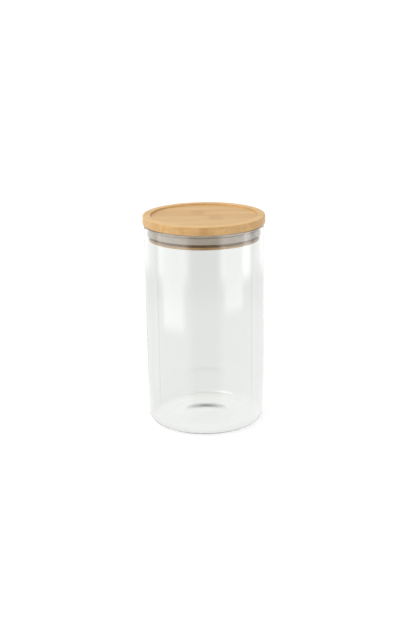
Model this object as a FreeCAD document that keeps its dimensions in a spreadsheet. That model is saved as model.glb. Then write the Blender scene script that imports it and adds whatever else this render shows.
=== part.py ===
"""Lidded glass canister: a straight glass jar closed by a bamboo lid with a silicone seal.

Frame: millimetres, +Z up, origin at the centre of the jar's foot, on the surface it stands on.
The lid is turned from a three-ply bamboo board. Its top ply is the cap, with a shallow tray in it,
and the two plies below are the plug that fills the jar's mouth. Every ply is strips glued edge to
edge, and the middle ply runs across the other two. A groove round the plug holds the seal.
"""

import FreeCAD
import Part
import Sketcher
import math
import os

VOLUME_TOLERANCE = 1e-4
RING_TOLERANCE = 1e-3
DRIVING = {
    # jar
    "jar_diameter": 98.0,
    "jar_height": 168.5,
    "wall_thickness": 2.4,
    "floor_thickness": 2.4,
    "foot_corner": 8.0,
    "inner_corner": 5.6,
    "rim_corner": 1.1,
    "punt_diameter": 56.0,
    "punt_height": 2.8,
    "floor_crown": 2.3,
    # lid cap
    "lid_diameter": 100.0,
    "cap_thickness": 7.0,
    "cap_to_rim_gap": 0.1,
    "cap_top_corner": 1.0,
    "cap_bottom_corner": 0.8,
    "tray_diameter": 87.2,
    "tray_depth": 1.5,
    "tray_corner": 0.5,
    # plug under the cap
    "plug_diameter": 90.4,
    "plug_depth": 12.4,
    "plug_corner": 0.6,
    "core_ply_thickness": 6.2,
    "groove_diameter": 85.0,
    "groove_start": 1.0,
    "groove_end": 10.3,
    # bamboo strips
    "strip_width": 20.5,
    "cap_first_joint": -37.6,
    "core_first_joint": -30.75,
    "face_first_joint": -34.2,
    # silicone seal
    "seal_running_gap": 0.05,
    "seal_end_gap": 0.1,
    "seal_band_thickness": 1.5,
    "seal_to_glass_gap": 0.3,
    "seal_height": 7.3,
    "thin_lip_start": 1.3,
    "thin_lip_end": 2.3,
    "lip_valley_depth": 1.1,
    "broad_lip_start": 3.0,
    "broad_lip_end": 7.8,
    "lip_slope": 0.2,
    "lip_corner": 0.35,
}
CAP_STRIPS = 6
CORE_STRIPS = 5
FACE_STRIPS = 5

doc = FreeCAD.newDocument("lidded_glass_canister")
sheet = doc.addObject("Spreadsheet::Sheet", "dims")


class Size:
    """A length as a spreadsheet expression, with its present value in millimetres."""

    def __init__(self, text, value):
        self.text = text
        self.value = value

    def __add__(self, other):
        return Size(f"({self.text} + {other.text})", self.value + other.value)

    def __sub__(self, other):
        return Size(f"({self.text} - {other.text})", self.value - other.value)

    def __neg__(self):
        return Size(f"(-{self.text})", -self.value)

    def times(self, factor):
        return Size(f"({self.text} * {factor})", self.value * factor)


def fill_sheet():
    """Writes the driving dimensions, one row each, and returns them as Sizes by name."""
    sizes = {}
    for row, (name, value) in enumerate(DRIVING.items(), start=1):
        sheet.set(f"A{row}", name)
        sheet.set(f"B{row}", str(value))
        sheet.setAlias(f"B{row}", name)
        sizes[name] = Size(f"dims.{name}", value)
    doc.recompute()
    return sizes


def origin_plane(body, role):
    return next(f for f in body.Origin.OriginFeatures if f.Role == role)


def new_body(name):
    body = doc.addObject("PartDesign::Body", name)
    body.Label = name
    return body


def new_sketch(body, name, plane, height=None):
    """A sketch on one of the body's origin planes, lifted by height along the plane's normal."""
    sketch = body.newObject("Sketcher::SketchObject", name)
    sketch.AttachmentSupport = [(origin_plane(body, plane), "")]
    sketch.MapMode = "FlatFace"
    if height is not None:
        sketch.setExpression("AttachmentOffset.Base.z", height.text)
    return sketch


def circle_sketch(body, name, radius, height=None):
    """A circle about the axis, flat, at the given height."""
    sketch = new_sketch(body, name, "XY_Plane", height)
    origin = FreeCAD.Vector(0, 0, 0)
    circle = sketch.addGeometry(Part.Circle(origin, FreeCAD.Vector(0, 0, 1), radius.value), False)
    sketch.addConstraint(Sketcher.Constraint("Coincident", circle, 3, -1, 1))
    constraint = sketch.addConstraint(Sketcher.Constraint("Radius", circle, radius.value))
    sketch.setExpression(f"Constraints[{constraint}]", radius.text)
    return sketch


def place_point(sketch, line, point, across, up):
    """Ties one end of a profile line to its radius and height. None means on that axis."""
    for kind, axis, size in (("DistanceX", -2, across), ("DistanceY", -1, up)):
        if size is None:
            sketch.addConstraint(Sketcher.Constraint("PointOnObject", line, point, axis))
        else:
            rule = Sketcher.Constraint(kind, -1, 1, line, point, size.value)
            constraint = sketch.addConstraint(rule)
            sketch.setExpression(f"Constraints[{constraint}]", size.text)


def profile_sketch(body, name, corners):
    """A closed outline of straight lines in the XZ plane, from (radius, height) corners."""
    sketch = new_sketch(body, name, "XZ_Plane")
    points = [
        FreeCAD.Vector(across.value if across else 0, up.value if up else 0, 0)
        for across, up in corners
    ]
    count = len(points)
    for i in range(count):
        sketch.addGeometry(Part.LineSegment(points[i], points[(i + 1) % count]), False)
    for i in range(count):
        sketch.addConstraint(Sketcher.Constraint("Coincident", i, 2, (i + 1) % count, 1))
    for i, (across, up) in enumerate(corners):
        place_point(sketch, i, 1, across, up)
    return sketch


def dome_sketch(body, name, radius, foot, crown):
    """Half the section of a shallow dome: flat at the height foot out to radius, crown high at the axis."""
    sketch = new_sketch(body, name, "XZ_Plane")
    low = foot.value if foot else 0.0
    sphere_radius = (radius.value**2 + crown.value**2) / (2 * crown.value)
    sphere_centre = low + crown.value - sphere_radius
    half_angle = math.asin(radius.value / sphere_radius) / 2
    inner = FreeCAD.Vector(0, low, 0)
    edge = FreeCAD.Vector(radius.value, low, 0)
    across = sphere_radius * math.sin(half_angle)
    up = sphere_centre + sphere_radius * math.cos(half_angle)
    middle = FreeCAD.Vector(across, up, 0)
    apex = FreeCAD.Vector(0, low + crown.value, 0)
    base = sketch.addGeometry(Part.LineSegment(inner, edge), False)
    arc = sketch.addGeometry(Part.Arc(edge, middle, apex), False)
    axis = sketch.addGeometry(Part.LineSegment(apex, inner), False)
    sketch.addConstraint(Sketcher.Constraint("Coincident", base, 2, arc, 1))
    sketch.addConstraint(Sketcher.Constraint("Coincident", arc, 2, axis, 1))
    sketch.addConstraint(Sketcher.Constraint("Coincident", axis, 2, base, 1))
    sketch.addConstraint(Sketcher.Constraint("Horizontal", base))
    sketch.addConstraint(Sketcher.Constraint("PointOnObject", arc, 3, -2))
    place_point(sketch, base, 1, None, foot)
    reach = sketch.addConstraint(Sketcher.Constraint("DistanceX", -1, 1, base, 2, radius.value))
    sketch.setExpression(f"Constraints[{reach}]", radius.text)
    rise = sketch.addConstraint(Sketcher.Constraint("DistanceY", base, 1, axis, 1, crown.value))
    sketch.setExpression(f"Constraints[{rise}]", crown.text)
    return sketch


def pad(body, sketch, length):
    feature = body.newObject("PartDesign::Pad", sketch.Name + "_pad")
    feature.Profile = sketch
    feature.setExpression("Length", length.text)
    doc.recompute()
    return feature


def pocket(body, sketch, depth, upwards=False):
    feature = body.newObject("PartDesign::Pocket", sketch.Name + "_pocket")
    feature.Profile = sketch
    feature.Reversed = upwards
    feature.setExpression("Length", depth.text)
    doc.recompute()
    return feature


def turn(body, sketch, kind):
    """Revolves a profile about the Z axis, as a Revolution that adds or a Groove that cuts."""
    feature = body.newObject(f"PartDesign::{kind}", sketch.Name + "_turned")
    feature.Profile = sketch
    feature.ReferenceAxis = (sketch, ["V_Axis"])
    feature.Angle = 360
    doc.recompute()
    return feature


def rings(shape, radius, height):
    """Names of the circular edges with this radius at this height."""
    found = []
    for number, edge in enumerate(shape.Edges, start=1):
        if edge.Degenerated or not isinstance(edge.Curve, Part.Circle):
            continue
        curve = edge.Curve
        off = max(abs(curve.Radius - radius), abs(curve.Center.z - height))
        if off < RING_TOLERANCE:
            found.append(f"Edge{number}")
    if not found:
        raise ValueError(f"no ring of radius {radius} at height {height}")
    return found


def round_ring(body, name, radius, height, corner):
    """Fillets the ring edge at that radius and height."""
    base = body.Tip
    fillet = body.newObject("PartDesign::Fillet", name)
    fillet.Base = (base, rings(base.Shape, radius.value, height.value))
    fillet.setExpression("Radius", corner.text)
    doc.recompute()
    return fillet


def require_change(body, before, grows, what):
    """Stops if the last feature didn't change the volume the way it should."""
    change = body.Shape.Volume - before
    if (change > 0) != grows or abs(change) < 1:
        raise ValueError(f"{what} changed the volume by {change:.2f} mm3")


dim = fill_sheet()
zero = Size("0", 0.0)
jar_radius = dim["jar_diameter"].times(0.5)
bore_radius = jar_radius - dim["wall_thickness"]
lid_radius = dim["lid_diameter"].times(0.5)
tray_radius = dim["tray_diameter"].times(0.5)
plug_radius = dim["plug_diameter"].times(0.5)
groove_radius = dim["groove_diameter"].times(0.5)
cap_underside = dim["jar_height"] + dim["cap_to_rim_gap"]
cap_top = cap_underside + dim["cap_thickness"]
tray_floor = cap_top - dim["tray_depth"]
plug_bottom = cap_underside - dim["plug_depth"]
core_bottom = cap_underside - dim["core_ply_thickness"]


def make_glass_jar():
    """The jar: one straight glass cylinder, a round-cornered foot and a floor pushed up in the middle."""
    body = new_body("glass_jar")
    pad(body, circle_sketch(body, "jar_blank", jar_radius), dim["jar_height"])
    round_ring(body, "jar_foot_round", jar_radius, zero, dim["foot_corner"])
    mouth = circle_sketch(body, "jar_bore", bore_radius, dim["jar_height"])
    before = body.Shape.Volume
    pocket(body, mouth, dim["jar_height"] - dim["floor_thickness"])
    require_change(body, before, False, "the jar's bore")
    round_ring(body, "jar_inner_round", bore_radius, dim["floor_thickness"], dim["inner_corner"])
    punt_radius = dim["punt_diameter"].times(0.5)
    before = body.Shape.Volume
    turn(body, dome_sketch(body, "jar_punt", punt_radius, None, dim["punt_height"]), "Groove")
    require_change(body, before, False, "the jar's punt")
    before = body.Shape.Volume
    crown = dome_sketch(body, "jar_floor_crown", punt_radius, dim["floor_thickness"], dim["floor_crown"])
    turn(body, crown, "Revolution")
    require_change(body, before, True, "the jar's floor crown")
    round_ring(body, "jar_rim_outer", jar_radius, dim["jar_height"], dim["rim_corner"])
    round_ring(body, "jar_rim_inner", bore_radius, dim["jar_height"], dim["rim_corner"])
    return body


def make_cap_blank():
    """The cap as turned, before it is divided into its strips."""
    body = new_body("cap_blank")
    pad(body, circle_sketch(body, "cap_disc", lid_radius, cap_underside), dim["cap_thickness"])
    before = body.Shape.Volume
    pocket(body, circle_sketch(body, "cap_tray", tray_radius, cap_top), dim["tray_depth"])
    require_change(body, before, False, "the cap's tray")
    round_ring(body, "cap_tray_round", tray_radius, tray_floor, dim["tray_corner"])
    round_ring(body, "cap_tray_edge", tray_radius, cap_top, dim["tray_corner"])
    round_ring(body, "cap_top_round", lid_radius, cap_top, dim["cap_top_corner"])
    round_ring(body, "cap_bottom_round", lid_radius, cap_underside, dim["cap_bottom_corner"])
    return body


def make_plug_blank():
    """The plug as turned: a disc with a wide groove for the seal and a flange below it."""
    body = new_body("plug_blank")
    pad(body, circle_sketch(body, "plug_disc", plug_radius, plug_bottom), dim["plug_depth"])
    groove_top = cap_underside - dim["groove_start"]
    groove_bottom = cap_underside - dim["groove_end"]
    corners = [
        (groove_radius, groove_bottom),
        (lid_radius, groove_bottom),
        (lid_radius, groove_top),
        (groove_radius, groove_top),
    ]
    before = body.Shape.Volume
    turn(body, profile_sketch(body, "plug_groove", corners), "Groove")
    require_change(body, before, False, "the plug's groove")
    round_ring(body, "plug_bottom_round", plug_radius, plug_bottom, dim["plug_corner"])
    return body


def make_seal_ring():
    """The seal: a band that lies in the plug's groove, a thin upper lip and a broad lower lip."""
    body = new_body("seal_ring")
    band_inner = groove_radius + dim["seal_running_gap"]
    band_outer = band_inner + dim["seal_band_thickness"]
    lip_radius = bore_radius - dim["seal_to_glass_gap"]
    valley_radius = lip_radius - dim["lip_valley_depth"]

    def below_cap(depth):
        return cap_underside - depth

    band_top = below_cap(dim["groove_start"] + dim["seal_end_gap"])
    band_bottom = band_top - dim["seal_height"]
    slope = dim["lip_slope"]
    corners = [
        (band_inner, band_bottom),
        (band_outer, band_bottom),
        (lip_radius, below_cap(dim["broad_lip_end"])),
        (lip_radius, below_cap(dim["broad_lip_start"])),
        (valley_radius, below_cap(dim["broad_lip_start"]) + slope),
        (valley_radius, below_cap(dim["thin_lip_end"]) - slope),
        (lip_radius, below_cap(dim["thin_lip_end"])),
        (lip_radius, below_cap(dim["thin_lip_start"])),
        (band_outer, band_top),
        (band_inner, band_top),
    ]
    turn(body, profile_sketch(body, "seal_section", corners), "Revolution")
    for name in ("broad_lip_end", "broad_lip_start", "thin_lip_end", "thin_lip_start"):
        round_ring(body, f"seal_{name}_round", lip_radius, below_cap(dim[name]), dim["lip_corner"])
    return body


def make_slab(name, across, start, width, bottom, height):
    """A box that spans the lid along one axis and covers one strip's width along the other.

    across is the axis the strip's width is measured along, so the grain runs along the other one.
    """
    slab = doc.addObject("Part::Box", name)
    span = dim["lid_diameter"].times(1.2)
    sides = {"X": ("Length", "Placement.Base.x"), "Y": ("Width", "Placement.Base.y")}
    along = "Y" if across == "X" else "X"
    slab.setExpression(sides[across][0], width.text)
    slab.setExpression(sides[across][1], start.text)
    slab.setExpression(sides[along][0], span.text)
    slab.setExpression(sides[along][1], (-span.times(0.5)).text)
    slab.setExpression("Height", height.text)
    slab.setExpression("Placement.Base.z", bottom.text)
    return slab


def make_strips(label, blank, count, across, first_joint, bottom, height):
    """Divides one ply of a turned blank into its glued strips, each a separate solid."""
    strips = []
    span = dim["lid_diameter"].times(0.6)
    for number in range(count):
        if number == 0:
            start = -span
            width = span + first_joint
        else:
            start = first_joint + dim["strip_width"].times(number - 1)
            width = dim["strip_width"]
        if number == count - 1:
            width = span - start
        name = f"{label}_{number + 1}"
        slab = make_slab(f"{name}_slab", across, start, width, bottom, height)
        strip = doc.addObject("Part::Common", name)
        strip.Label = name
        strip.Base = blank
        strip.Tool = slab
        strips.append(strip)
    doc.recompute()
    return strips


def make_lid():
    """All the lid's bamboo strips, ply by ply from the top."""
    cap = make_cap_blank()
    plug = make_plug_blank()
    core = dim["core_ply_thickness"]
    face = dim["plug_depth"] - core
    return (
        make_strips(
            "cap_strip", cap, CAP_STRIPS, "Y", dim["cap_first_joint"], cap_underside, dim["cap_thickness"]
        )
        + make_strips("plug_core_strip", plug, CORE_STRIPS, "X", dim["core_first_joint"], core_bottom, core)
        + make_strips("plug_face_strip", plug, FACE_STRIPS, "Y", dim["face_first_joint"], plug_bottom, face)
    )


def check_document(pieces):
    """Stops if any object failed to compute, or a piece is missing, open or invalid."""
    for item in doc.Objects:
        if "Invalid" in item.State or "Error" in item.State:
            raise ValueError(f"{item.Label} failed: {item.State}")
    for piece in pieces:
        shape = piece.Shape
        if shape.isNull() or not shape.isValid() or len(shape.Solids) != 1:
            raise ValueError(f"{piece.Label} isn't one valid solid")


def check_volumes(strips, blanks):
    """The strips of the lid have to add up to the two blanks they were divided from."""
    whole = sum(doc.getObject(name).Shape.Volume for name in blanks)
    divided = sum(strip.Shape.Volume for strip in strips)
    if abs(whole - divided) > VOLUME_TOLERANCE * whole:
        raise ValueError(f"strips hold {divided:.1f} mm3 and the blanks {whole:.1f} mm3")


def write_parts(pieces):
    os.makedirs("parts", exist_ok=True)
    for piece in pieces:
        piece.Shape.exportStep(os.path.join("parts", f"{piece.Label}.step"))
        print(f"{piece.Label}: {piece.Shape.Volume / 1000:.2f} cm3")


jar = make_glass_jar()
seal = make_seal_ring()
lid_strips = make_lid()
all_pieces = [jar, seal] + lid_strips
doc.recompute()
check_document(all_pieces)
check_volumes(lid_strips, ("cap_blank", "plug_blank"))
write_parts(all_pieces)
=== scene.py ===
"""Looks of the lidded glass canister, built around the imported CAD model.

Metres, +Z up, origin at the centre of the jar's foot. The CAD strips of the lid and the seal are
shown as they are, with materials; the jar is a smooth lathe mesh that stands for the CAD jar.
"""

import math
import random

import bpy
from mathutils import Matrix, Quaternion, Vector


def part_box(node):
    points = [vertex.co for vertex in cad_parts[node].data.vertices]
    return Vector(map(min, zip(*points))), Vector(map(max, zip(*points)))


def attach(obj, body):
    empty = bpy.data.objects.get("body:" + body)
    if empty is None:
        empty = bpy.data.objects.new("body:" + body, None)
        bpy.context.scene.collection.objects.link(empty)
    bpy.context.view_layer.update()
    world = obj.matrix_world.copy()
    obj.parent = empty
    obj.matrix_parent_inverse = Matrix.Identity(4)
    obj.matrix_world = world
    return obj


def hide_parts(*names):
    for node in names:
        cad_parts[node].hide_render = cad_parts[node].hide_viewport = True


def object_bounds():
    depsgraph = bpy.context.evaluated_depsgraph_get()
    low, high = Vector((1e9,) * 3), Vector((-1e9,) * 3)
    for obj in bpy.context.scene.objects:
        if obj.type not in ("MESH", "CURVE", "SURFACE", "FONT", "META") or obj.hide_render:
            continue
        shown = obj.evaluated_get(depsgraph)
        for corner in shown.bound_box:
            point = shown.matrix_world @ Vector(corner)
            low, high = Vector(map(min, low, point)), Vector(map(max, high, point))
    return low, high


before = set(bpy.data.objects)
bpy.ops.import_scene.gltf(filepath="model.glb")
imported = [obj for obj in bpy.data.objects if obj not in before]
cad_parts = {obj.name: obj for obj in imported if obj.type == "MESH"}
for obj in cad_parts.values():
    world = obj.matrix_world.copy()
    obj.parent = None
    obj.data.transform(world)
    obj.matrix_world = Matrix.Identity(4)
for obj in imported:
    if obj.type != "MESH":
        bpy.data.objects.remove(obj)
cad_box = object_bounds()
MM = 0.001

# Light meets many glass surfaces on its way through the jar, so it needs many bounces.
MAX_BOUNCES = 24
GLOSSY_BOUNCES = 8

scene = bpy.context.scene
scene.view_settings.view_transform = "Standard"
scene.cycles.max_bounces = MAX_BOUNCES
scene.cycles.transmission_bounces = MAX_BOUNCES
scene.cycles.glossy_bounces = GLOSSY_BOUNCES


# ---------------------------------------------------------------- mesh helpers

def arc(centre, radius, start, end, steps):
    """Points on an arc in the (radius, height) plane, without its first one. Angles are in degrees."""
    points = []
    for i in range(1, steps + 1):
        angle = math.radians(start + (end - start) * i / steps)
        points.append((centre[0] + radius * math.cos(angle), centre[1] + radius * math.sin(angle)))
    return points


def run(start, end, steps):
    """Points on a straight line, without its first one."""
    points = []
    for i in range(1, steps + 1):
        share = i / steps
        points.append((start[0] + (end[0] - start[0]) * share, start[1] + (end[1] - start[1]) * share))
    return points


def dome(radius, foot, height, steps):
    """Points from the edge of a shallow dome, which is left out, up to its top on the axis."""
    points = []
    for i in range(1, steps + 1):
        share = 1 - i / steps
        points.append((radius * share, foot + height * (1 - share**2) ** 2))
    return points


def add_object(name, data):
    made = bpy.data.objects.new(name, data)
    scene.collection.objects.link(made)
    return made


def lathe(name, profile, segments, wobble):
    """Turns a profile that starts and ends on the axis into a closed, smooth mesh.

    wobble gives what to add to the radius at a radius, a height and an angle.
    """
    verts = []
    rows = []
    for r, z in profile:
        if r == 0:
            rows.append([len(verts)])
            verts.append((0.0, 0.0, z))
            continue
        row = []
        for s in range(segments):
            angle = 2 * math.pi * s / segments
            radius = r + wobble(r, z, angle)
            row.append(len(verts))
            verts.append((radius * math.cos(angle), radius * math.sin(angle), z))
        rows.append(row)
    faces = []
    for low, high in zip(rows, rows[1:]):
        for s in range(segments):
            t = (s + 1) % segments
            if len(low) == 1:
                faces.append((low[0], high[t], high[s]))
            elif len(high) == 1:
                faces.append((low[s], low[t], high[0]))
            else:
                faces.append((low[s], low[t], high[t], high[s]))
    mesh = bpy.data.meshes.new(name)
    mesh.from_pydata(verts, [], faces)
    mesh.polygons.foreach_set("use_smooth", [True] * len(mesh.polygons))
    mesh.update()
    return add_object(name, mesh)


# ---------------------------------------------------------------- node helpers

# A Mix node has sockets for every kind of value. These are the numbers of those that colours use.
MIX_SHARE, MIX_FIRST, MIX_SECOND = 0, 6, 7
MIX_RESULT = 2


class Graph:
    """The node tree of a material or the world, with short calls for the nodes used here."""

    def __init__(self, owner, output_kind):
        self.owner = owner
        owner.use_nodes = True
        self.tree = owner.node_tree
        self.tree.nodes.clear()
        self.output = self.node(output_kind)

    def node(self, kind, **settings):
        made = self.tree.nodes.new(kind)
        for key, value in settings.items():
            setattr(made, key, value)
        return made

    def feed(self, socket, value):
        """Connects an output to a socket, or sets the socket's own value."""
        if isinstance(value, bpy.types.NodeSocket):
            self.tree.links.new(value, socket)
        else:
            socket.default_value = value

    def feed_in_order(self, made, values):
        for socket, value in zip(made.inputs, values):
            self.feed(socket, value)

    def feed_by_name(self, made, values):
        for name, value in values.items():
            self.feed(made.inputs[name], value)

    def surface(self, shader):
        self.feed(self.output.inputs["Surface"], shader.outputs[0])

    def coordinates(self, kind):
        return self.node("ShaderNodeTexCoord").outputs[kind]

    def split(self, vector):
        """The outputs X, Y and Z of a vector."""
        made = self.node("ShaderNodeSeparateXYZ")
        self.feed_in_order(made, [vector])
        return made.outputs

    def math(self, operation, *values):
        made = self.node("ShaderNodeMath", operation=operation)
        self.feed_in_order(made, values)
        return made.outputs[0]

    def plus(self, first, second):
        return self.math("ADD", first, second)

    def minus(self, first, second):
        return self.math("SUBTRACT", first, second)

    def times(self, first, second):
        return self.math("MULTIPLY", first, second)

    def vector_math(self, operation, *values):
        made = self.node("ShaderNodeVectorMath", operation=operation)
        self.feed_in_order(made, values)
        return made.outputs["Value" if operation == "LENGTH" else "Vector"]

    def place(self, vector, scale=(1, 1, 1), shift=(0, 0, 0), turn=0.0):
        made = self.node("ShaderNodeMapping")
        self.feed_by_name(made, {
            "Vector": vector,
            "Location": shift,
            "Rotation": (0, 0, turn),
            "Scale": scale,
        })
        return made.outputs[0]

    def noise(self, vector, scale, detail, roughness=0.5, shift=(0, 0, 0)):
        """Noise between 0 and 1, with its own scale, per metre, on each axis."""
        made = self.node("ShaderNodeTexNoise")
        self.feed_by_name(made, {
            "Vector": self.place(vector, scale, shift),
            "Scale": 1.0,
            "Detail": detail,
            "Roughness": roughness,
        })
        return made.outputs["Fac"]

    def swing(self, noise, amount):
        """The swing of a noise to either side of its middle, times an amount."""
        return self.times(self.minus(noise, 0.5), amount)

    def ramp(self, value, low, high, out_low=0.0, out_high=1.0, smooth=True):
        """Goes from out_low to out_high as the value goes from low to high, and stays level beyond."""
        made = self.node("ShaderNodeMapRange", clamp=True)
        made.interpolation_type = "SMOOTHSTEP" if smooth else "LINEAR"
        self.feed_by_name(made, {
            "Value": value,
            "From Min": low,
            "From Max": high,
            "To Min": out_low,
            "To Max": out_high,
        })
        return made.outputs[0]

    def mix(self, share, first, second, blend="MIX"):
        made = self.node("ShaderNodeMix", data_type="RGBA", blend_type=blend)
        self.feed(made.inputs[MIX_SHARE], share)
        self.feed(made.inputs[MIX_FIRST], first)
        self.feed(made.inputs[MIX_SECOND], second)
        return made.outputs[MIX_RESULT]

    def bump(self, height, strength, distance):
        made = self.node("ShaderNodeBump")
        self.feed_by_name(made, {"Height": height, "Strength": strength, "Distance": distance})
        return made.outputs[0]

    def principled(self, **inputs):
        made = self.node("ShaderNodeBsdfPrincipled")
        self.feed_by_name(made, {name.replace("_", " "): value for name, value in inputs.items()})
        self.surface(made)

    def lamp(self, strength):
        made = self.node("ShaderNodeEmission")
        self.feed(made.inputs["Strength"], strength)
        return made

    def fading_lamp(self, share, strength):
        """Makes the surface glow where share is 1, and clear where it is 0."""
        clear = self.node("ShaderNodeBsdfTransparent")
        both = self.node("ShaderNodeMixShader")
        self.feed_in_order(both, [share, clear.outputs[0], self.lamp(strength).outputs[0]])
        self.surface(both)


def new_material(name):
    return Graph(bpy.data.materials.new(name), "ShaderNodeOutputMaterial")


def wear(piece, material):
    piece.data.materials.clear()
    piece.data.materials.append(material)


# The kinds of ray that a piece can be hidden from.
RAYS = ("camera", "diffuse", "glossy", "transmission", "shadow")


def show_only_to(piece, *rays):
    for ray in RAYS:
        setattr(piece, f"visible_{ray}", ray in rays)


# ---------------------------------------------------------------- bamboo

LIGHT_FIBRE = (0.645, 0.413, 0.180, 1)
DARK_FIBRE = (0.485, 0.28, 0.101, 1)
KNOT_BROWN = (0.37, 0.165, 0.045, 1)
# Pale colour for the cap's worn rim and for the painted highlight on its rim and front.
PALE_WEAR_AND_HIGHLIGHT = (0.80, 0.53, 0.24, 1)
# Colour of the painted shade in the groove behind the seal.
GROOVE_SHADE_BROWN = (0.16, 0.075, 0.03, 1)

# The wood's patterns, as noise: its scale per metre along the grain and across it, detail, roughness.
FINE = ((30, 1900, 1900), 3.0, 0.6)
STREAK = ((7, 420, 420), 3.0, 0.55)
BROAD = ((5, 75, 40), 2.0, 0.5)
DASH = ((140, 2600, 2600), 1.0, 0.5)
SPECK = ((60, 520, 520), 2.0, 0.5)
WAVER = ((60, 110, 60), 2.0, 0.5)
CURL = ((150, 110, 110), 1.0, 0.5)

# A range, fade, stain, lean, wear, highlight or roughness in brackets holds the numbers that Graph.ramp
# takes.
FINE_SHARE = 0.45
STREAK_SHARE = 0.55
BROAD_SWING = 0.55
FIBRE_RANGE = (0.30, 0.66)
DASH_RANGE = (0.66, 0.78)
DASH_STAIN = 0.35

# A knot is a soft oval, a little wider than its strip, that bends the grain and stains it.
KNOT_WIDTH = 1.3
KNOT_WAVER = 0.9
KNOT_FADE = (1.0, 0.15)
KNOT_BEND = 2.5 * MM
KNOT_STAIN = (0.30, 0.70, 0.14, 0.42)

# A glue line shows as a dark seam along each side of a strip.
SEAM_FADE = (0.25 * MM, 0.02 * MM)
SEAM_STAIN = 0.40

# How far a face has to lean towards the grain's end, or upwards, to count as end grain or as the top.
END_GRAIN_LEAN = (0.5, 1.0)
# End grain is darkened partly for its own darker tone, partly as painted shade on the cap's ends.
END_GRAIN_TONE_AND_SHADE = 0.24
TOP_LEAN = (0.3, 0.8)
# Pale wood on the cap's top: worn pale and painted highlight on its rim, starting this far below it, and
# painted highlight from its middle to its front, where the light falls.
RING_START, RING_END = 0.5 * MM, 0.1 * MM
RING_WEAR_AND_HIGHLIGHT = (0.01, 0.19)
FRONT_HIGHLIGHT = (0.0, -46 * MM, 0.0, 0.32)

# The groove's painted shade starts a little outside its radius and a little below its bottom edge.
GROOVE_RADIUS = 42.5 * MM
GROOVE_NONE, GROOVE_FULL = 2.2 * MM, 1.2 * MM
GROOVE_RISE = 0.4 * MM
GROOVE_SHADE_STRENGTH = 0.62
FLANGE_HEIGHT = 2.1 * MM

WOOD_ROUGHNESS = (0.3, 0.7, 0.56, 0.44)
# A bump's strength and its depth.
WOOD_BUMP = (0.35, 0.02 * MM)
DASH_RELIEF = 0.5


def find_knots(g, wood, along, across, edges, knots, shift):
    """1 in the middle of each knot, fading to 0 outside it."""
    middle = (edges[0] + edges[1]) / 2
    half_strip = (edges[1] - edges[0]) / 2
    aside = g.math("DIVIDE", g.minus(across, middle), half_strip * KNOT_WIDTH)
    aside = g.times(aside, aside)
    inside = 0.0
    for place, half_length in knots:
        waver = g.noise(wood, *WAVER, shift)
        off = g.math("DIVIDE", g.minus(along, place), half_length)
        off = g.plus(off, g.swing(waver, KNOT_WAVER))
        reach = g.plus(g.times(off, off), aside)
        inside = g.math("MAXIMUM", inside, g.ramp(reach, *KNOT_FADE))
    return inside


def bend_grain(g, wood, inside_knot, shift):
    """The wood's coordinates, pushed sideways inside a knot."""
    curl = g.noise(wood, *CURL, shift)
    push = g.node("ShaderNodeCombineXYZ")
    g.feed(push.inputs["Y"], g.swing(curl, g.times(inside_knot, KNOT_BEND)))
    return g.vector_math("ADD", wood, push.outputs[0])


def darken_seams(g, colour, across, edges):
    for edge in edges:
        seam = g.ramp(g.math("ABSOLUTE", g.minus(across, edge)), *SEAM_FADE)
        colour = g.mix(g.times(seam, SEAM_STAIN), colour, KNOT_BROWN)
    return colour


def cap_wear_and_painted_light(g, colour, axes, rim):
    """Darkens the end grain, partly its own darker tone and partly painted shade on the cap's ends, and
    pales the top: worn pale and painted highlight on its rim, painted highlight towards the front.
    """
    facing = g.split(g.coordinates("Normal"))
    end_grain = g.ramp(g.math("ABSOLUTE", facing["X"]), *END_GRAIN_LEAN)
    colour = g.mix(g.times(end_grain, END_GRAIN_TONE_AND_SHADE), colour, KNOT_BROWN)
    top = g.ramp(facing["Z"], *TOP_LEAN)
    # The rim is worn pale and carries a painted highlight; the front carries a painted highlight where
    # the light falls.
    ring = g.ramp(axes["Z"], rim - RING_START, rim - RING_END, *RING_WEAR_AND_HIGHLIGHT)
    front = g.ramp(axes["Y"], *FRONT_HIGHLIGHT)
    return g.mix(g.times(top, g.plus(ring, front)), colour, PALE_WEAR_AND_HIGHLIGHT)


def paint_groove_shade(g, colour, here, height, groove):
    """Paints shade onto the rough cut wood in the groove behind the seal."""
    away = g.vector_math("LENGTH", g.vector_math("MULTIPLY", here, (1, 1, 0)))
    deep = g.ramp(away, GROOVE_RADIUS + GROOVE_NONE, GROOVE_RADIUS + GROOVE_FULL)
    above = g.ramp(height, groove - GROOVE_RISE, groove)
    return g.mix(g.times(g.times(deep, above), GROOVE_SHADE_STRENGTH), colour, GROOVE_SHADE_BROWN)


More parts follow.
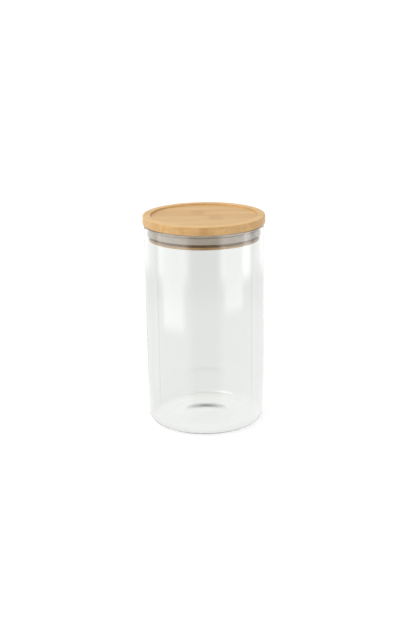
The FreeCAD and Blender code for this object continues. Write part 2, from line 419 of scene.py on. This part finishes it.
def bamboo(name, grain, edges, tone, seed, knots, rim, groove):
    """Bamboo strip wood. grain is the axis it runs along, edges the strip's two glued sides.

    tone multiplies its colour. knots are (place along the grain, half length) pairs in metres, where the
    cane had a joint. rim is the height of the cap's top, and groove that of the bottom of the plug's
    groove. Both are None on strips that have neither.
    """
    g = new_material(name)
    here = g.coordinates("Object")
    axes = g.split(here)
    if grain == "Y":
        along, across, turn = axes["Y"], axes["X"], -math.pi / 2
    else:
        along, across, turn = axes["X"], axes["Y"], 0.0
    wood = g.place(here, turn=turn)
    # Each strip's patterns come from its own part of the noise.
    picker = random.Random(seed)
    shift = [picker.uniform(-5, 5) for _ in range(3)]

    inside_knot = find_knots(g, wood, along, across, edges, knots, shift)
    bent = bend_grain(g, wood, inside_knot, shift)
    fine = g.noise(bent, *FINE, shift)
    streak = g.noise(bent, *STREAK, shift)
    broad = g.noise(bent, *BROAD, shift)
    speck = g.noise(bent, *SPECK, shift)
    dash = g.ramp(g.noise(bent, *DASH, shift), *DASH_RANGE)

    fibre = g.plus(g.times(fine, FINE_SHARE), g.times(streak, STREAK_SHARE))
    fibre = g.plus(fibre, g.swing(broad, BROAD_SWING))
    colour = g.mix(g.ramp(fibre, *FIBRE_RANGE, smooth=False), DARK_FIBRE, LIGHT_FIBRE)
    colour = g.mix(g.times(dash, DASH_STAIN), colour, KNOT_BROWN)
    colour = g.mix(g.times(inside_knot, g.ramp(speck, *KNOT_STAIN)), colour, KNOT_BROWN)
    colour = darken_seams(g, colour, across, edges)
    colour = g.mix(1.0, colour, (*tone, 1), blend="MULTIPLY")
    # Painted highlight and wear on the cap's top, and end grain darkened partly by painted shade.
    if rim is not None:
        colour = cap_wear_and_painted_light(g, colour, axes, rim)
    # Painted shade in the groove behind the seal.
    if groove is not None:
        colour = paint_groove_shade(g, colour, here, axes["Z"], groove)

    relief = g.minus(fine, g.times(dash, DASH_RELIEF))
    g.principled(
        Base_Color=colour,
        Roughness=g.ramp(fine, *WOOD_ROUGHNESS, smooth=False),
        Normal=g.bump(relief, *WOOD_BUMP),
        IOR=1.45,
        Specular_IOR_Level=0.25,
    )
    return g.owner


# Each ply's grain and tone. Strips then differ a little at random, in tone and in warmth.
PLIES = {
    "cap_strip": ("X", 1.0),
    "plug_core_strip": ("Y", 0.85),
    "plug_face_strip": ("X", 1.02),
}
TONE_SPREAD = (0.95, 1.03)
WARMTH_SPREAD = (-0.03, 0.03)
# How much warmth takes away from red, green and blue.
WARMTH_SHARES = (0.0, 0.5, 1.5)
STRIP_TONE = {"cap_strip_1": 0.97, "cap_strip_5": 1.05, "cap_strip_6": 1.14}
KNOTS = {
    "cap_strip_1": [(-17 * MM, 3.5 * MM), (6 * MM, 5 * MM)],
    "cap_strip_3": [(10 * MM, 9 * MM)],
    "cap_strip_4": [(-5.4 * MM, 8 * MM)],
}


def dress_lid():
    for node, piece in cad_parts.items():
        ply, number = node.rsplit("_", 1)
        if ply not in PLIES:
            continue
        grain, level = PLIES[ply]
        picker = random.Random(ply + number)
        level *= picker.uniform(*TONE_SPREAD)
        level *= STRIP_TONE.get(node, 1.0)
        warmth = picker.uniform(*WARMTH_SPREAD)
        tone = [level * (1 - warmth * share) for share in WARMTH_SHARES]
        low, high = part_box(node)
        side = 0 if grain == "Y" else 1
        edges = (low[side], high[side])
        rim = high.z if ply == "cap_strip" else None
        groove = low.z + FLANGE_HEIGHT if ply == "plug_face_strip" else None
        knots = KNOTS.get(node, ())
        wear(piece, bamboo(f"bamboo_{node}", grain, edges, tone, f"{node}grain", knots, rim, groove))


# ---------------------------------------------------------------- silicone

SILICONE_DARK = (0.56, 0.48, 0.405, 1)
SILICONE_LIGHT = (0.64, 0.56, 0.48, 1)
CLOUD = ((90, 90, 90), 3.0)
SKIN = ((2600, 2600, 2600), 1.0)
SILICONE_ROUGHNESS = (0.3, 0.7, 0.32, 0.42)
SILICONE_BUMP = (0.15, 0.01 * MM)
SILICONE_DEPTH = 1.5 * MM


def silicone():
    g = new_material("silicone_milky")
    here = g.coordinates("Object")
    cloud = g.noise(here, *CLOUD)
    g.principled(
        Base_Color=g.mix(cloud, SILICONE_DARK, SILICONE_LIGHT),
        Roughness=g.ramp(cloud, *SILICONE_ROUGHNESS, smooth=False),
        Normal=g.bump(g.noise(here, *SKIN), *SILICONE_BUMP),
        IOR=1.41,
        Subsurface_Weight=0.5,
        Subsurface_Radius=(1.0, 0.8, 0.6),
        Subsurface_Scale=SILICONE_DEPTH,
    )
    return g.owner


# ---------------------------------------------------------------- glass jar

# Jar section, the same as the CAD jar's.
WALL = 2.4 * MM
FLOOR_THICKNESS = 2.4 * MM
FOOT_CORNER = 8.0 * MM
INNER_CORNER = 5.6 * MM
RIM_CORNER = 1.1 * MM
PUNT_RADIUS = 28.0 * MM
PUNT_HEIGHT = 2.8 * MM
CROWN_HEIGHT = 2.3 * MM

# Fineness of the jar's mesh.
SEGMENTS = 288
DOME_STEPS = 28
BASE_STEPS = 6
FOOT_STEPS = 28
WALL_STEPS = 60
RIM_STEPS = 12
CORNER_STEPS = 24

# The jar's inside is uneven by about a hundredth of a millimetre, less near its two ends. It is the
# sum of waves: (share, count round the jar, radians per metre of height, start in radians).
UNEVENNESS = 0.008 * MM
EVEN_ENDS = 20 * MM
INSIDE_MARGIN = 0.1 * MM
WAVES = [
    (1.0, 3, 40, 0.0),
    (0.6, 5, -65, 1.0),
    (0.4, 2, 110, 2.2),
]

FILM = ((35, 35, 12), 3.0)
FILM_ROUGHNESS = (0.45, 0.8, 0.0, 0.03)
GLASS_COLOUR = (0.990, 1.0, 0.985, 1)
GLASS_TINT = (0.70, 0.85, 0.72, 1)
TINT_DENSITY = 3.0


def clear_glass():
    g = new_material("clear_glass")
    film = g.noise(g.coordinates("Object"), *FILM)
    g.principled(
        Base_Color=GLASS_COLOUR,
        Roughness=g.ramp(film, *FILM_ROUGHNESS),
        IOR=1.5,
        Transmission_Weight=1.0,
    )
    tint = g.node("ShaderNodeVolumeAbsorption")
    g.feed_by_name(tint, {"Color": GLASS_TINT, "Density": TINT_DENSITY})
    g.feed(g.output.inputs["Volume"], tint.outputs[0])
    return g.owner


def jar_profile(outer, top):
    """The jar's section, from the middle of its underside round to the middle of its inside floor."""
    inner = outer - WALL
    foot = outer - FOOT_CORNER
    shoulder = top - RIM_CORNER
    bend = inner - INNER_CORNER
    bend_top = FLOOR_THICKNESS + INNER_CORNER
    points = list(reversed(dome(PUNT_RADIUS, 0.0, PUNT_HEIGHT, DOME_STEPS)))
    points += [(PUNT_RADIUS, 0.0)]
    points += run((PUNT_RADIUS, 0.0), (foot, 0.0), BASE_STEPS)
    points += arc((foot, FOOT_CORNER), FOOT_CORNER, -90, 0, FOOT_STEPS)
    points += run((outer, FOOT_CORNER), (outer, shoulder), WALL_STEPS)
    points += arc((outer - RIM_CORNER, shoulder), RIM_CORNER, 0, 90, RIM_STEPS)
    points += [(inner + RIM_CORNER, top)]
    points += arc((inner + RIM_CORNER, shoulder), RIM_CORNER, 90, 180, RIM_STEPS)
    points += run((inner, shoulder), (inner, bend_top), WALL_STEPS)
    points += arc((bend, bend_top), INNER_CORNER, 0, -90, CORNER_STEPS)
    points += run((bend, FLOOR_THICKNESS), (PUNT_RADIUS, FLOOR_THICKNESS), BASE_STEPS)
    points += dome(PUNT_RADIUS, FLOOR_THICKNESS, CROWN_HEIGHT, DOME_STEPS)
    return points


def make_jar():
    low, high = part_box("glass_jar")
    outer = (high.x - low.x + high.y - low.y) / 4
    inside = outer - WALL + INSIDE_MARGIN

    def wobble(r, z, angle):
        if r > inside:
            return 0.0
        fade = min(1.0, z / EVEN_ENDS) * min(1.0, max(0.0, (high.z - z) / EVEN_ENDS))
        wave = sum(
            share * math.sin(count * angle + rate * z + start)
            for share, count, rate, start in WAVES
        )
        return UNEVENNESS * fade * wave

    jar = lathe("jar_glass", jar_profile(outer, high.z), SEGMENTS, wobble)
    wear(jar, clear_glass())
    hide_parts("glass_jar")
    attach(jar, "jar")


# ---------------------------------------------------------------- floor

FLOOR_DROP = 0.1 * MM
FLOOR_REACH = 30.0
FLOOR_GREY = (0.30, 0.30, 0.30, 1)
FLOOR_GLOW = 0.78
MIRRORED_FLOOR_GLOW = 1.2
MIRRORED_FLOOR_FADE = (0.14, 0.06)
# Two fades of the floor's glow behind glass: metres away from, to, and the glow there.
BEHIND_NEAR = (0.26, 0.46, 0.815, 0.76)
BEHIND_FAR = (0.65, 2.0, 0.0, 0.30)


def floor_sheet(name, material):
    low, reach = -FLOOR_DROP, FLOOR_REACH
    corners = [(-reach, -reach, low), (reach, -reach, low), (reach, reach, low), (-reach, reach, low)]
    mesh = bpy.data.meshes.new(name)
    mesh.from_pydata(corners, [], [(0, 1, 2, 3)])
    plane = add_object(name, mesh)
    wear(plane, material)
    return plane


def make_floor():
    """A white sheet that glows a little, so that shadows on it are faint."""
    g = new_material("floor_white")
    sheet = g.node("ShaderNodeBsdfDiffuse")
    g.feed(sheet.inputs["Color"], FLOOR_GREY)
    both = g.node("ShaderNodeAddShader")
    g.feed_in_order(both, [sheet.outputs[0], g.lamp(FLOOR_GLOW).outputs[0]])
    g.surface(both)
    show_only_to(floor_sheet("floor", g.owner), "camera", "diffuse", "shadow")


def make_floor_mirrored():
    """The floor near the jar, as the foot mirrors it. It fades out into the mirrored surroundings."""
    g = new_material("floor_mirrored")
    away = g.vector_math("LENGTH", g.coordinates("Object"))
    g.fading_lamp(g.ramp(away, *MIRRORED_FLOOR_FADE), MIRRORED_FLOOR_GLOW)
    show_only_to(floor_sheet("floor_mirrored", g.owner), "glossy")


def make_floor_behind_glass():
    """The same floor as the glass shows it: a shade darker, except towards the horizon."""
    g = new_material("floor_behind_glass")
    away = g.vector_math("LENGTH", g.coordinates("Object"))
    g.surface(g.lamp(g.plus(g.ramp(away, *BEHIND_NEAR), g.ramp(away, *BEHIND_FAR))))
    show_only_to(floor_sheet("floor_behind_glass", g.owner), "transmission")


# ---------------------------------------------------------------- surroundings

# The white tent's brightness, and how much dimmer it is on the far right.
SKY_LEVEL = 1.10
SKY_LEAN = 0.75
HORIZON_BLEND = 0.02

# What the glass mirrors low down, by angle from the camera's side: (share of a half turn, brightness).
MIRRORED = [
    (0.00, 0.05),
    (0.09, 0.08),
    (0.23, 1.25),
    (0.55, 1.30),
    (0.57, 0.40),
    (0.595, 1.40),
    (0.70, 1.10),
    (1.00, 0.95),
]

CARD_STEPS = 24
# Name, edges and side fade in degrees, distance and height in metres, foot fade, strength.
CARDS = [
    ("card_left", -88, -30, 15, 0.29, 0.30, 20 * MM, 4.0),
    ("card_right", 30, 80, 13, 0.36, 0.30, 20 * MM, 3.8),
    ("far_card_left", -106, -20, 26, 0.47, 0.60, 28 * MM, 5.4),
    ("far_card_right", 20, 106, 26, 0.47, 0.60, 28 * MM, 6.6),
    ("side_card_left", -160, -96, 16, 0.46, 0.60, 40 * MM, 1.9),
    ("side_card_right", 96, 160, 16, 0.46, 0.60, 40 * MM, 1.9),
]

KEY_PLACE = (-0.9, -0.7, 1.5)
KEY_AIM = (0, 0, 0.1)
KEY_SIZE = 1.2
KEY_POWER = 8.0


def make_world():
    """The white tent, over the surroundings that the glass mirrors below the horizon."""
    world = bpy.data.worlds.new("studio")
    scene.world = world
    g = Graph(world, "ShaderNodeOutputWorld")
    way = g.split(g.coordinates("Generated"))

    front = g.times(way["Y"], -1.0)
    angle = g.math("DIVIDE", g.math("ARCTAN2", g.math("ABSOLUTE", way["X"]), front), math.pi)
    ring = g.node("ShaderNodeValToRGB")
    ring.color_ramp.interpolation = "EASE"
    stops = ring.color_ramp.elements
    while len(stops) < len(MIRRORED):
        stops.new(0.5)
    for stop, (place, level) in zip(stops, MIRRORED):
        stop.position = place
        stop.color = (level, level, level, 1)
    g.feed(ring.inputs[0], angle)

    rightward = g.math("MAXIMUM", way["X"], 0.0)
    tent = g.minus(SKY_LEVEL, g.times(rightward, SKY_LEAN))
    rise = g.ramp(way["Z"], -HORIZON_BLEND, 0.0, smooth=False)
    sky = g.node("ShaderNodeBackground")
    g.feed(sky.inputs["Color"], g.mix(rise, ring.outputs[0], tent))
    g.surface(sky)


def soft_glow(name, strength, side_fade, foot_fade):
    """A glow that fades out towards the two upright edges and the lower edge of a card."""
    g = new_material(name)
    place = g.split(g.node("ShaderNodeUVMap").outputs[0])
    off = g.math("ABSOLUTE", g.minus(place["X"], 0.5))
    side = g.ramp(off, 0.5, 0.5 - side_fade)
    foot = g.ramp(place["Y"], 0.0, foot_fade)
    g.fading_lamp(g.times(side, foot), strength)
    return g.owner


def card(name, start, end, side_fade, distance, height, foot_fade, strength):
    """An upright glowing card curved round the jar, seen only as a reflection in the glass.

    start and end are its edges' azimuths in degrees, where 0 is the camera's side. It fades in over
    side_fade degrees from either edge, and over the height foot_fade from the floor up.
    """
    verts = []
    for i in range(CARD_STEPS + 1):
        angle = math.radians(start + (end - start) * i / CARD_STEPS)
        x, y = distance * math.sin(angle), -distance * math.cos(angle)
        verts += [(x, y, 0.0), (x, y, height)]
    faces = [(2 * i, 2 * i + 2, 2 * i + 3, 2 * i + 1) for i in range(CARD_STEPS)]
    mesh = bpy.data.meshes.new(name)
    mesh.from_pydata(verts, [], faces)
    layer = mesh.uv_layers.new(name="UVMap")
    for loop in mesh.loops:
        column, row = divmod(loop.vertex_index, 2)
        layer.data[loop.index].uv = (column / CARD_STEPS, row)
    sheet = add_object(name, mesh)
    wear(sheet, soft_glow(f"{name}_glow", strength, side_fade / (end - start), foot_fade / height))
    show_only_to(sheet, "glossy")


def make_key():
    """A large round softbox, high on the left."""
    data = bpy.data.lights.new("key", "AREA")
    data.shape = "DISK"
    data.size = KEY_SIZE
    data.energy = KEY_POWER
    lamp = add_object("key", data)
    lamp.location = KEY_PLACE
    lamp.rotation_mode = "QUATERNION"
    lamp.rotation_quaternion = (Vector(KEY_AIM) - Vector(KEY_PLACE)).to_track_quat("-Z", "Y")
    lamp.visible_camera = False


# ---------------------------------------------------------------- camera

CAMERA_DISTANCE = 0.9287
CAMERA_ELEVATION = math.radians(17.23)
CAMERA_AIM = Vector((0.0025, 0.0, 0.0921))
CAMERA_ROLL = math.radians(0.70)
CAMERA_LENS = 64.0
CAMERA_NEAR = 0.01
CAMERA_FAR = 100.0


def make_camera():
    data = bpy.data.cameras.new("camera")
    data.lens = CAMERA_LENS
    data.clip_start = CAMERA_NEAR
    data.clip_end = CAMERA_FAR
    camera = add_object("camera", data)
    middle = (cad_box[0].z + cad_box[1].z) / 2
    back = Vector((0, -math.cos(CAMERA_ELEVATION), math.sin(CAMERA_ELEVATION)))
    camera.location = Vector((0, 0, middle)) + back * CAMERA_DISTANCE
    camera.rotation_mode = "QUATERNION"
    look = (CAMERA_AIM - camera.location).to_track_quat("-Z", "Y")
    camera.rotation_quaternion = look @ Quaternion((0, 0, 1), -CAMERA_ROLL)
    scene.camera = camera


# ---------------------------------------------------------------- the whole scene

dress_lid()
wear(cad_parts["seal_ring"], silicone())
make_jar()
make_floor()
make_floor_mirrored()
make_floor_behind_glass()
make_world()
for row in CARDS:
    card(*row)
make_key()
make_camera()
